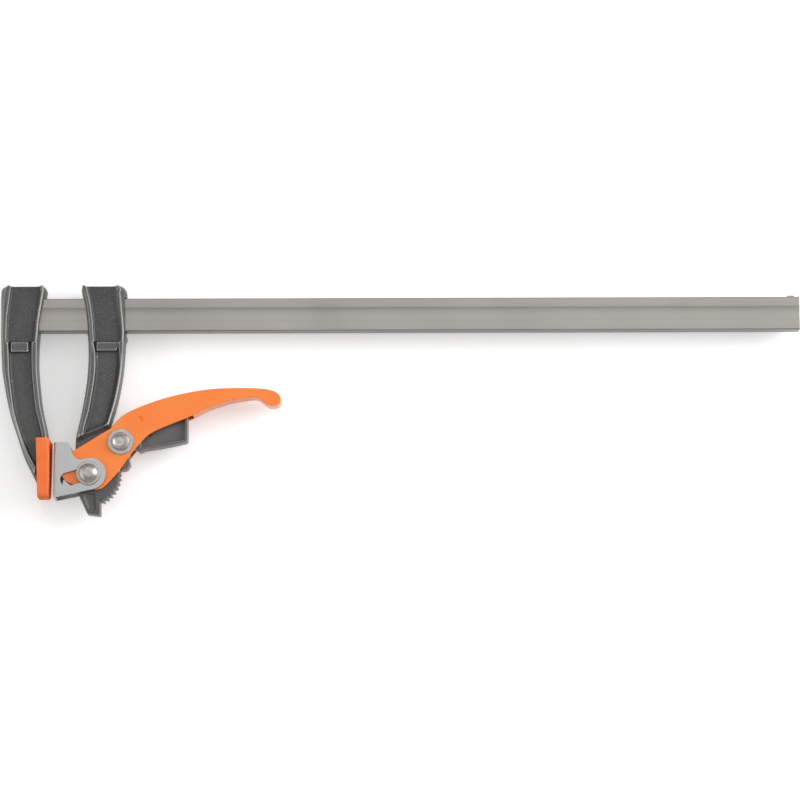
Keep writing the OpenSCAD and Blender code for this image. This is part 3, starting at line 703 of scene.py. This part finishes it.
def rail_hole(side_play, edge_play, x_from, x_to):
    """The hole that an arm leaves for the rail, with some play at the rail's faces and at its narrow edges."""
    side, edge = RAIL_HALF_T + side_play, RAIL_HALF_H + edge_play
    low, high = RAIL_MID - edge, RAIL_MID + edge
    return block([(side, low), (-side, low), (-side, high), (side, high)], x_from, x_to)


fixed_arm = joined(fixed_arm, rail_hole(0.1, 0.1, RAIL_ENDS[0], 10))
add_body(fixed_arm, tapered(block(pad_outline(JAW_INSET), JAW_BACK, JAW_FRONT)))
finished(cast(fixed_arm, CAST_GRAIN), "fixed_arm_casting", "frame", "cast_arm", powder_coat, "fixed_arm",
         sharp=CAST_SHARP)

# %% [markdown]
# The sliding arm is cast in the same way down to a slanting step. Below the step it is a tongue, only 10 mm
# thick, which fits inside the lever. The tongue carries the ratchet teeth and ends in a foot. Arm, tongue and
# teeth are melted into one skin, and the pivot is bored afterwards, so that its bore stays round.

# %% Cast the sliding arm
slide_left = smooth_curve([
    (17.5, 110.2), (17.7, 107.1), (19.1, 101), (20.6, 91), (21.4, 81), (21.95, 76.5), (22.1, 65.7), (21.4, 53.7),
    (19.7, 41.7), (17.9, 31.5), (16.5, 24.9), (15.3, 20.1), (14.9, 16.5),
])
slide_right = smooth_curve([
    (42.9, 110.2), (44.2, 108.6), (45.0, 106), (45.1, 95), (45.0, 86), (44.5, 77.7), (44.0, 68.7), (43.2, 59.7),
    (42.0, 50.7), (40.0, 40.5), (37.6, 31.5), (35.6, 25.5), (34.6, 22.0),
])
slide_widths = [
    (110.2, 1.5, 2.1, 0.8, 4.0, 0.8, 2.2, PANEL_Z), (106, 1.8, 2.1, 0.8, 4.0, 0.8, 3.8, PANEL_Z),
    (95, 1.8, 2.1, 0.8, 3.4, 0.8, 2.8, PANEL_Z), (81.5, 1.8, 2.1, 0.8, 2.6, 0.8, 1.1, PANEL_Z),
    (76.4, 1.8, 1.9, 0.8, 2.4, 0.8, 1.0, PANEL_Z), (75.6, 1.9, 1.4, 0.8, 0.8, 3.2, 0.9, WEB_Z),
    (69.7, 1.9, 2.4, 0.8, 2.2, 2.0, 0.8, WEB_Z), (61, 1.9, 2.9, 0.8, 3.0, 0.9, 0.6, WEB_Z),
    (28, 1.9, 2.8, 0.8, 3.0, 0.9, 0.6, WEB_Z),
]
STEP_LEFT, STEP_RIGHT = (13.8, 17.2), (36.8, 26.9)
STEP_DRAFT = 2.4
TONGUE_Z = 5


def step_line(x, above=0.0):
    """The height of the slanting step."""
    t = (x - STEP_LEFT[0]) / (STEP_RIGHT[0] - STEP_LEFT[0])
    return STEP_LEFT[1] + (STEP_RIGHT[1] - STEP_LEFT[1]) * t + above


rings = rings_down(slide_left, slide_right, slide_widths, TOP_HEIGHTS | RIB_HEIGHTS | set(range(34, 107, 3)))
# Each row: a height above the step, the panel's height there and the height that the rim is cut down to.
for above, panel_z, cap in ((5.5, WEB_Z, RIM_Z), (3.0, 6.0, RIM_Z), (0.4, 7.4, RIM_Z), (0, 7.4, 8.9),
                            (-STEP_DRAFT, TONGUE_Z, TONGUE_Z), (-6, 4.5, 4.5)):
    left = at_height(slide_left, step_line(15.5, above))
    right = at_height(slide_right, step_line(35.5, above))
    half = arm_section(left, right, between(slide_widths, 28)[:-1] + [panel_z])
    rings.append(ring_at([(x, min(z, cap)) for x, z in half], lambda x, a=above: step_line(x, a)))
sliding_arm = loft(rings)
add_horns_and_rib(sliding_arm, (19.3, 39.8), [(27.5, 70.8), (39.4, 70.8), (39.9, 75.6), (27.5, 75.6)])
add_body(sliding_arm, plug((41.2, 79.3), 3.9, -6, 6, sides=24))
sliding_arm = joined(sliding_arm, rail_hole(0.3, 0.7, 0, 60))
print("sliding arm faces", len(sliding_arm.faces))

# %% Give the arm its tongue
PIVOT, PIVOT_R, PLAY = (23.3, -3.6), 3.0, 0.05
TOOTH_R, TOOTH_D = 19.3, 1.9
TEETH, FIRST_TOOTH, TOOTH_PITCH = 10, -61.5, 8.9
FOOT_WEB = 4.0
TONGUE_WIDE, TONGUE_TALL, TONGUE_LEFT = 25, 110.2, 18.8
tongue_left = smooth_curve(scaled([
    (0.024, 0.326), (-0.048, 0.252), (-0.11, 0.183), (-0.128, 0.128), (-0.124, 0.06), (-0.12, -0.035),
    (-0.105, -0.09), (-0.072, -0.139)], (TONGUE_WIDE, TONGUE_TALL), (TONGUE_LEFT, 0)))
tongue_right = smooth_curve(scaled([
    (0.7, 0.284), (0.61, 0.22), (0.545, 0.147), (0.588, 0.073), (0.688, 0)],
    (TONGUE_WIDE, TONGUE_TALL), (TONGUE_LEFT, 0)))
foot = scaled([(-0.04, -1.23), (0.37, -1.285), (0.36, -0.7), (0.5, -0.3)], (TOOTH_R, TOOTH_R), PIVOT)
tongue = [p for p in tongue_left if p[1] < step_line(p[0], -0.6)] + foot
tongue += [p for p in reversed(tongue_right) if p[1] < step_line(p[0], -0.6)]
tongue += [(33.5, 27.0), (18.0, 22.0)]
ring_of_teeth = [PIVOT]
for i in range(TEETH):
    for share, deep in ((-0.52, TOOTH_D), (-0.05, 0), (0.2, 0), (0.36, TOOTH_D)):
        turn = radians(FIRST_TOOTH + (i + share) * TOOTH_PITCH)
        r = TOOTH_R - deep
        ring_of_teeth.append((PIVOT[0] + r * cos(turn), PIVOT[1] + r * sin(turn)))
tongue_body = slab(tongue, -TONGUE_Z, TONGUE_Z)
panel = scaled([(-0.17, -0.6), (0.02, -1.08), (0.22, -1.1), (0.2, -0.6)], (TOOTH_R, TOOTH_R), PIVOT)
for low, high in ((FOOT_WEB, 6.0), (-6.0, -FOOT_WEB)):
    tongue_body = joined(tongue_body, slab(panel, low, high))
add_body(sliding_arm, tongue_body)
add_body(sliding_arm, slab(ring_of_teeth, -TONGUE_Z, TONGUE_Z))
sliding_arm = joined(cast(sliding_arm, CAST_GRAIN), plug(PIVOT, PIVOT_R + PLAY, -8, 8))
finished(sliding_arm, "sliding_arm_casting", "slider", "cast_arm", powder_coat, "sliding_arm", sharp=CAST_SHARP)

# %% [markdown]
# ## The jaw pad
# The pad is a moulded cap that slips over the fixed arm's jaw. It tapers downwards, its edges are rounded, and
# shallow grooves run across its clamping face, so that the face's edge looks beaded. The cap is extruded from
# its outline, bevelled, grooved, and hollowed from behind.

# %% Mould the jaw pad
PAD_DEEP, CAVITY_FRONT = 8, -3.3
TOP_ROUND, BOTTOM_ROUND, FRONT_ROUND, BACK_ROUND = 1.2, 2.4, 1.6, 0.5
PAD_WALL, SOCKET_HALF = 2, 11
GROOVES, GROOVE_PITCH, GROOVE_HALF, GROOVE_DEPTH = 15, 2.1, 0.95, 0.45
pad = tapered(block(pad_outline(0), -PAD_DEEP, 0))
for side, radius in ((1, TOP_ROUND), (-1, BOTTOM_ROUND)):
    bevel(pad, [e for e in pad.edges
                if abs(e.verts[0].co.x - e.verts[1].co.x) > 1 and e.verts[0].co.y * side > 12], radius, 5)
bevel(pad, [e for e in pad.edges if all(v.co.x > -0.01 for v in e.verts)], FRONT_ROUND, 5)
bevel(pad, [e for e in pad.edges if all(v.co.x < BACK_TAPER - PAD_DEEP + 0.1 for v in e.verts)], BACK_ROUND, 3)
bmesh.ops.recalc_face_normals(pad, faces=pad.faces)
for i in range(GROOVES):
    y = (i - (GROOVES - 1) / 2) * GROOVE_PITCH
    pad = joined(pad, slab([(-GROOVE_DEPTH, y), (0.5, y + GROOVE_HALF), (0.5, y - GROOVE_HALF)], -14, 14))
pad = joined(pad, block(pad_outline(PAD_WALL), -9, CAVITY_FRONT))
socket = [(SOCKET_HALF, 10), (-SOCKET_HALF, 10), (-SOCKET_HALF, PAD_HALF + 2), (SOCKET_HALF, PAD_HALF + 2)]
pad = joined(pad, block(socket, -9, CAVITY_FRONT))
finished(pad, "jaw_pad_cap", "frame", "pad_plastic", polyamide, "fixed_jaw_pad")

# %% [markdown]
# ## The lever
# The lever is pressed from 1.8 mm sheet into a channel: two cheeks and a back that joins them. Between its
# cheeks lie the arm's tongue and the trigger. Past the trigger the sheet is folded under, so that the hand holds
# a closed handle. The outline is drawn once, extruded across the clamp, opened along the sides that have no wall,
# bevelled along the folds, and given its thickness inwards.

# %% Draw the lever's outline
LEVER_L, LEVER_HALF = 115.0, 7.1
LEVER_SHEET, LEVER_FOLD = 1.8, 1.9
TRIGGER_PIN, PIN_R = (42.2, 15.7), 2.5
CAM_R, CAM_REACH = 8.0, 18.7
# The sheet is folded under along this many lines of the open side.
CLOSED_LINES = 9
cam = []
for degree in range(75, -1, -5):
    a = radians(degree)
    reach = CAM_REACH - CAM_R * a
    cam.append((PIVOT[0] - reach * cos(a) - CAM_R * sin(a), PIVOT[1] - reach * sin(a) + CAM_R * cos(a)))
lever_back = smooth_curve(scaled([
    (0.109, 0.235), (0.143, 0.275), (0.184, 0.312), (0.253, 0.346), (0.363, 0.387), (0.492, 0.421),
    (0.629, 0.443), (0.769, 0.449), (0.88, 0.446), (0.938, 0.438), (0.979, 0.42), (0.996, 0.39),
    (0.99, 0.368), (0.97, 0.356), (0.94, 0.356), (0.912, 0.371), (0.879, 0.397), (0.845, 0.401)],
    (LEVER_L, LEVER_L), PIVOT))
lever_open = smooth_curve(scaled([
    (0.82, 0.397), (0.721, 0.38), (0.61, 0.341), (0.54, 0.305), (0.402, 0.25), (0.311, 0.205),
    (0.253, 0.145), (0.218, 0.105), (0.173, 0.036), (0.124, -0.023), (0.074, -0.073), (0.035, -0.083)],
    (LEVER_L, LEVER_L), PIVOT), 3)
print("lever outline points", len(cam) + len(lever_back) + len(lever_open))


# %% Fold sheet into a channel
def folded_sheet(outline, walls, half, radius, sheet, rounds):
    """A new mesh: an outline as two cheeks, joined by walls along some of its sides, numbered from its start."""
    bm = bmesh.new()
    corner = bm.verts.layers.int.new("corner")
    face = draw(bm, outline, half)
    for k, v in enumerate(face.verts):
        v[corner] = k
    extrude(bm, [face], (0, 0, -2 * half))
    open_sides = []
    for f in bm.faces:
        numbers = sorted({v[corner] for v in f.verts})
        if len(numbers) == 2:
            side = numbers[1] if numbers == [0, len(outline) - 1] else numbers[0]
            if side not in walls:
                open_sides.append(f)
    bmesh.ops.delete(bm, geom=open_sides, context="FACES_ONLY")
    bmesh.ops.delete(bm, geom=[e for e in bm.edges if not e.link_faces], context="EDGES")
    bmesh.ops.recalc_face_normals(bm, faces=bm.faces)
    folds = [e for e in bm.edges if len(e.link_faces) == 2 and {len(f.verts) for f in e.link_faces} != {4}]
    bevel(bm, folds, radius, rounds, clamp_overlap=True)
    cheek = max(bm.faces, key=lambda f: f.calc_area())
    if cheek.normal.z * cheek.calc_center_median().z < 0:
        bmesh.ops.reverse_faces(bm, faces=bm.faces)
    return worked(bm, ("SOLIDIFY", {"thickness": sheet, "offset": -1, "use_even_offset": True}))


def deburr(bm, size):
    """Takes the sharpness off the cut edges of a sheet."""
    cut = [e for e in bm.edges if len(e.link_faces) == 2 and e.calc_face_angle() > radians(70)]
    bevel(bm, cut, size, 2, clamp_overlap=True)


first = len(cam)
lever_walls = range(first, first + len(lever_back) + CLOSED_LINES)
lever = folded_sheet(cam + lever_back + lever_open, lever_walls, LEVER_HALF, LEVER_FOLD, LEVER_SHEET, 5)
deburr(lever, 0.28)
print("lever faces", len(lever.faces))

# %% Drill the lever
DIMPLE, DIMPLE_HALF, DIMPLE_D = (53.8, 29.2), 2.0, 0.5
for centre, radius in ((PIVOT, PIVOT_R), (TRIGGER_PIN, PIN_R)):
    lever = joined(lever, plug(centre, radius + PLAY, -9, 9))
ball_r = (DIMPLE_HALF ** 2 + DIMPLE_D ** 2) / (2 * DIMPLE_D)
for side in (-1, 1):
    ball = bmesh.new()
    bmesh.ops.create_uvsphere(ball, u_segments=48, v_segments=32, radius=ball_r)
    bmesh.ops.translate(ball, verts=ball.verts, vec=(*DIMPLE, side * (LEVER_HALF - DIMPLE_D + ball_r)))
    lever = joined(lever, ball)
finished(lever, "lever_channel", "lever", "lever_enamel", enamel, "lever")

# %% [markdown]
# ## The pressure plate
# The plate is folded in the same way from 1.4 mm sheet, with a flat front that presses on the work and two ears
# with a slot each. The lever's cam pushes it forwards, and the slots ride on bushes round the pivot.

# %% Fold the pressure plate
JAW_GAP, PLATE_UP, PLATE_DOWN, EAR_R = 2.5, 15.2, 18.1, 9.6
PLATE_HALF, PLATE_SHEET, PLATE_FOLD = 9.2, 1.4, 1.7
SLOT_R, SLOT_SLOPE, SLOT_PAST, SLOT_REACH = 4.15, 16.0, 0.3, 13.1
corner = (JAW_GAP, PLATE_UP)
heel = (JAW_GAP, -PLATE_DOWN)
EAR = (PIVOT[0] + 0.9, PIVOT[1] - 0.2)
to_ear = (EAR[0] - heel[0], EAR[1] - heel[1])
tangent = degrees(atan2(to_ear[1], to_ear[0]) - asin(EAR_R / hypot(*to_ear)))
neck = scaled([(0.36, 0), (0.4, 0.008), (0.445, 0.07), (0.486, 0.2), (0.54, 0.38), (0.63, 0.5), (0.75, 0.552),
               (0.82, 0.54)], (PIVOT[0] - corner[0], PIVOT[1] - corner[1]), corner)
ear_start = arc(EAR, EAR_R, 104, 104, 1)[:1]
plate_outline = [corner] + smooth_curve(neck + ear_start) + arc(EAR, EAR_R, 101, tangent - 90, 40) + [heel]
plate = folded_sheet(plate_outline, [len(plate_outline) - 1], PLATE_HALF, PLATE_FOLD, PLATE_SHEET, 6)
deburr(plate, 0.25)
slot_dir = Vector((cos(radians(SLOT_SLOPE)), sin(radians(SLOT_SLOPE))))
slot = arc(Vector(PIVOT) + SLOT_PAST * slot_dir, SLOT_R, SLOT_SLOPE - 90, SLOT_SLOPE + 90)
slot += arc(Vector(PIVOT) - SLOT_REACH * slot_dir, SLOT_R, SLOT_SLOPE + 90, SLOT_SLOPE + 270)
plate = joined(plate, slab(slot, -12, 12))
finished(plate, "pressure_plate_sheet", "plate", "plate_zinc", satin_zinc, "pressure_plate")

# %% [markdown]
# ## The trigger
# The trigger is one casting: a grip for the finger, a hub, and a pawl that reaches down to the teeth. The grip has
# a thin web with a rim below it and at its end. The overlapping bodies are melted together as for the arms, with a
# finer grain, and the hub is bored afterwards so that the bore stays round.

# %% Cast the trigger
TRIGGER_L, TRIGGER_HALF, TRIGGER_WEB = 40.0, 5, 2.5
HUB_R, SLEEVE_BORE, COIL_BORE, COIL_FLOOR = 6.5, 4.05, 8.9, 0.49
TOOTH_PLAY = 0.3
TRIGGER_GRAIN = 0.3
grip = scaled([
    (0.11, 0.095), (0.44, 0.1), (0.47, 0.19), (0.6, 0.27), (0.98, 0.46), (1, 0.42), (1, 0.025), (0.985, 0.005),
    (0.965, -0.002), (0.8, -0.04), (0.6, -0.078), (0.36, -0.115), (0.28, -0.15), (0.25, -0.11), (0.12, -0.1)],
    (TRIGGER_L, TRIGGER_L), TRIGGER_PIN)
pawl = scaled([
    (-0.155, 0), (-0.145, -0.13), (-0.03, -0.425), (0.02, -0.428), (0.1, -0.405), (0.145, -0.34), (0.125, -0.24),
    (0.155, 0)], (TRIGGER_L, TRIGGER_L), TRIGGER_PIN)
recess = scaled([
    (0.3, -0.1), (0.36, -0.078), (0.6, -0.038), (0.8, 0.0), (0.955, 0.034), (0.955, 0.53), (0.5, 0.35),
    (0.3, 0.25)], (TRIGGER_L, TRIGGER_L), TRIGGER_PIN)
trigger = slab(grip, -TRIGGER_HALF, TRIGGER_HALF)
for low, high in ((TRIGGER_WEB, 8), (-8, -TRIGGER_WEB)):
    trigger = joined(trigger, slab(recess, low, high))
add_body(trigger, slab(pawl, -TRIGGER_HALF, TRIGGER_HALF))
add_body(trigger, plug(TRIGGER_PIN, HUB_R, -TRIGGER_HALF, TRIGGER_HALF))
trigger = joined(trigger, plug(PIVOT, TOOTH_R + TOOTH_PLAY, -8, 8, sides=72))
trigger = cast(trigger, TRIGGER_GRAIN)
trigger = joined(trigger, plug(TRIGGER_PIN, SLEEVE_BORE, -8, 8))
trigger = joined(trigger, plug(TRIGGER_PIN, COIL_BORE, COIL_FLOOR, 8))
finished(trigger, "trigger_casting", "trigger", "trigger_casting", grey_coat, "trigger_pawl", sharp=CAST_SHARP)

# %% [markdown]
# ## Rivets and washers
# Rivets and washers are round, so each is a profile turned about its axis. The lever's pivot has low domed heads
# with a flat crown, and the trigger's rivet has heads with a hollow, as a riveting tool with a pin leaves them.


# %% Turn the rivets
def rivet(head, shank):
    """The profile of a rivet with the same head at both ends."""
    low = head[0][1]
    return [(r, -z) for r, z in reversed(head)] + [(shank, -low), (shank, low)] + head


PIVOT_HEAD = [
    (5.7, 10.3), (5.7, 11.0), (5.58, 11.45), (5.25, 11.85), (4.75, 12.15), (4.2, 12.4), (3.7, 12.65), (3.3, 12.85),
    (2.9, 13.0), (2.4, 13.08), (1.6, 13.1), (0.8, 13.08), (0, 13.05)]
PIN_HEAD = [
    (5.4, 8.1), (5.4, 9.2), (5.28, 9.75), (5.0, 10.15), (4.6, 10.4), (4.2, 10.4), (3.85, 10.2), (3.5, 9.95),
    (3.0, 9.8), (2.2, 9.72), (1.4, 9.74), (0.7, 9.8), (0, 9.82)]
RIVETS = (
    ("pivot_rivet", "slider", PIVOT_HEAD, PIVOT_R, PIVOT),
    ("trigger_rivet", "lever", PIN_HEAD, PIN_R, TRIGGER_PIN),
)
for node, body, head, shank, centre in RIVETS:
    finished(turned(rivet(head, shank), centre), node + "_turned", body, "zinc_plate", bright_zinc, node)

# %% Turn the washers
# Each washer has its node, its body, its centre, its bore, its rim's radius, its lower face and its side.
WASHERS = (
    ("pivot_washer_front", "slider", PIVOT, PIVOT_R + PLAY, 7.2, 9.3, 1),
    ("pivot_washer_back", "slider", PIVOT, PIVOT_R + PLAY, 7.2, 9.3, -1),
    ("trigger_washer_front", "lever", TRIGGER_PIN, PIN_R + PLAY, 7.8, 7.1, 1),
    ("trigger_washer_back", "lever", TRIGGER_PIN, PIN_R + PLAY, 7.8, 7.1, -1),
)
WASHER_T = 1.0
WASHER_RIM = [(-0.15, 0), (0, 0.15), (0, 0.7), (-0.12, 0.9), (-0.4, WASHER_T)]
for node, body, centre, bore, rim, low, side in WASHERS:
    ring = [(bore, low)] + [(rim + r, low + z) for r, z in WASHER_RIM] + [(bore, low + WASHER_T)]
    ring = [(r, side * z) for r, z in ring]
    finished(turned(ring, centre, closed=True), node + "_turned", body, "zinc_plate", bright_zinc, node)

# %% [markdown]
# ## The pieces inside
# The pins, bushes, sleeve and spring lie inside the clamp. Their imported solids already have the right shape, so
# they stay as they are and only get their finishes.

# %% Finish the inner pieces
INNER = {
    "fixed_arm_pins": ground_steel, "upper_brake_pin": ground_steel, "lower_brake_pin": ground_steel,
    "trigger_sleeve": ground_steel, "slot_bush_front": ground_steel, "slot_bush_back": ground_steel,
    "trigger_spring": spring_wire,
}
for node, material in INNER.items():
    for slot_in_mesh in nodes[node].material_slots:
        slot_in_mesh.material = material
    print(node, "gets", material.name)

# %% [markdown]
# ## The imported size
# The box of the imported clamp, before it was dressed, is written down in millimetres. The dressed clamp
# may not be bigger than the imported one.

# %% Write the sizes and finish
print("cad   ", [[round(c * 1000, 2) for c in corner] for corner in cad_box])
